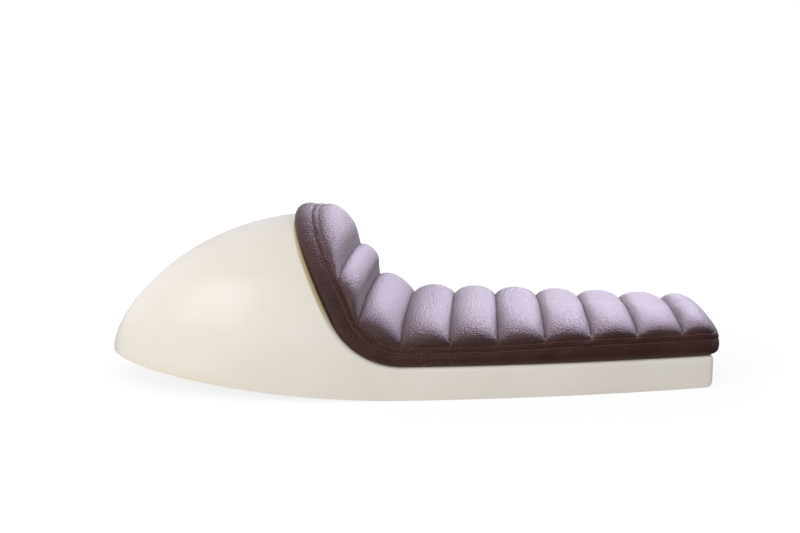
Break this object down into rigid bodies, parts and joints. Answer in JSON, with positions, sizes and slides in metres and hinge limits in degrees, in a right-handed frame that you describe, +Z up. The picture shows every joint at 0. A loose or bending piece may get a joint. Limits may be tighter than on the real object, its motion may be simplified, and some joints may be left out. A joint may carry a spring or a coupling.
{
  "type": "motorcycle seat cowl",
  "caption": "Cafe racer motorcycle seat: pale glossy tail hump and seat pan moulded in one shell, with a brown leather tuck-and-roll pad over the deck and up the front of the hump.",
  "frame": {"origin": "centre of the bounding box in X and Y, on the plane that the flat run of the rim stands on", "axes": "+X to the front of the seat, +Y to the rider's left, +Z up"},
  "size_m": [0.694, 0.238, 0.195],
  "materials": {
    "gelcoat": "glossy off-white gel coat over glass fibre",
    "leather": "fine-grained brown leather with a soft sheen",
    "foam": "open-cell foam, hidden",
    "board": "matt board under the pad",
    "steel": "zinc-plated"
  },
  "bodies": {
    "root": {"cowl_shell": "gelcoat", "base_board": "board", "foam_core": "foam", "pleated_panel": "leather", "side_band": "leather", "pad_studs": "steel", "pad_washers": "steel", "pad_nuts": "steel"}
  },
  "joints": []
}
